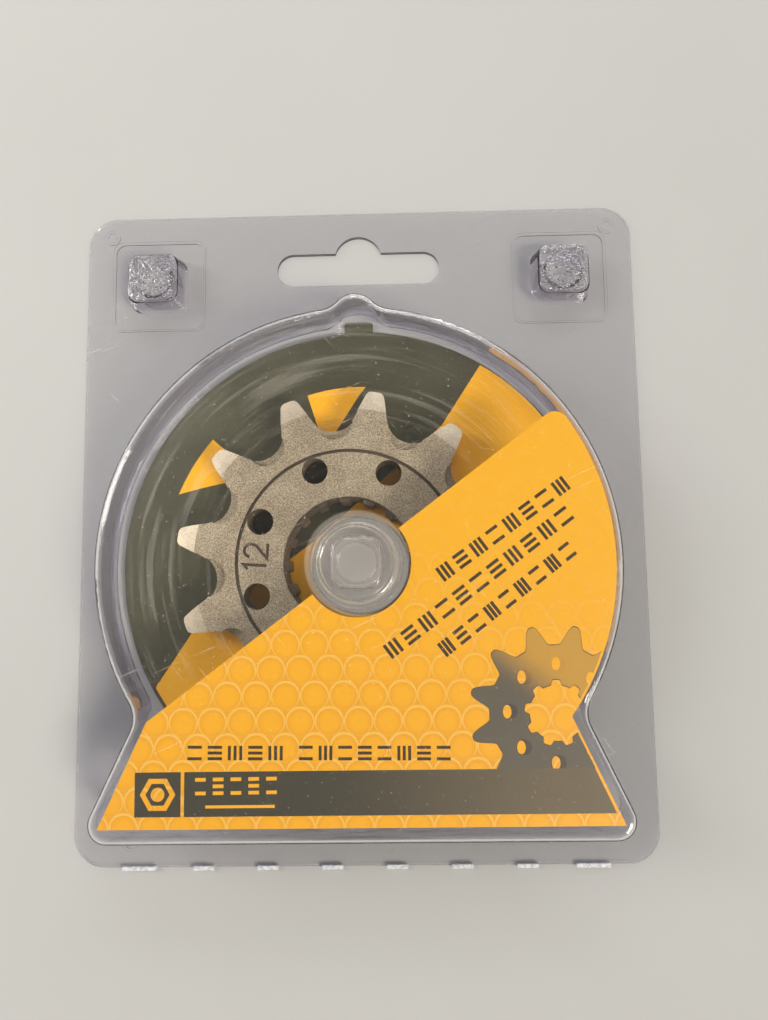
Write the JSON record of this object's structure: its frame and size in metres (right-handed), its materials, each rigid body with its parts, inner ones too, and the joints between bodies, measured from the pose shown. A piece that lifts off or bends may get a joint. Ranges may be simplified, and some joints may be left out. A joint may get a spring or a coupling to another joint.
{
  "type": "motorcycle front sprocket in a retail pack",
  "caption": "Steel chain sprocket with a splined bore and a turned groove, held on the hub of a clear hinged retail pack with two printed cards and a hang slot.",
  "frame": {"origin": "middle of the pack's back face, on the surface that it lies on", "axes": "+X to the right of the pack, +Y towards the hang slot, +Z out of the pack's face"},
  "size_m": [0.112, 0.1309, 0.02],
  "materials": {
    "sprocket_steel": "matte, fine blasted grain",
    "clear_plastic": "clear, glossy thermoformed sheet",
    "front_card_print": "coated card, semi-gloss print",
    "back_card_print": "coated card, semi-gloss print"
  },
  "bodies": {
    "back": {"back_shell": "clear_plastic", "living_hinge": "clear_plastic"},
    "lid": {"front_shell": "clear_plastic", "front_card": "front_card_print"},
    "card": {"back_card": "back_card_print"},
    "sprocket": {"sprocket": "sprocket_steel"}
  },
  "joints": [
    {"name": "lid_hinge", "type": "hinge", "parent": "back", "child": "lid", "pos_m": [0, -0.0655, 0.00052], "axis": [1, 0, 0], "range_deg": [0, 120]},
    {"name": "contents_rattle", "type": "slide", "parent": "back", "child": "card", "axis": [0, 0, 1], "range_m": [0, 0.006]},
    {"name": "sprocket_spin", "type": "hinge", "parent": "card", "child": "sprocket", "pos_m": [-0.0021, -0.0074, 0.0045], "axis": [0, 0, 1], "continuous": true}
  ]
}
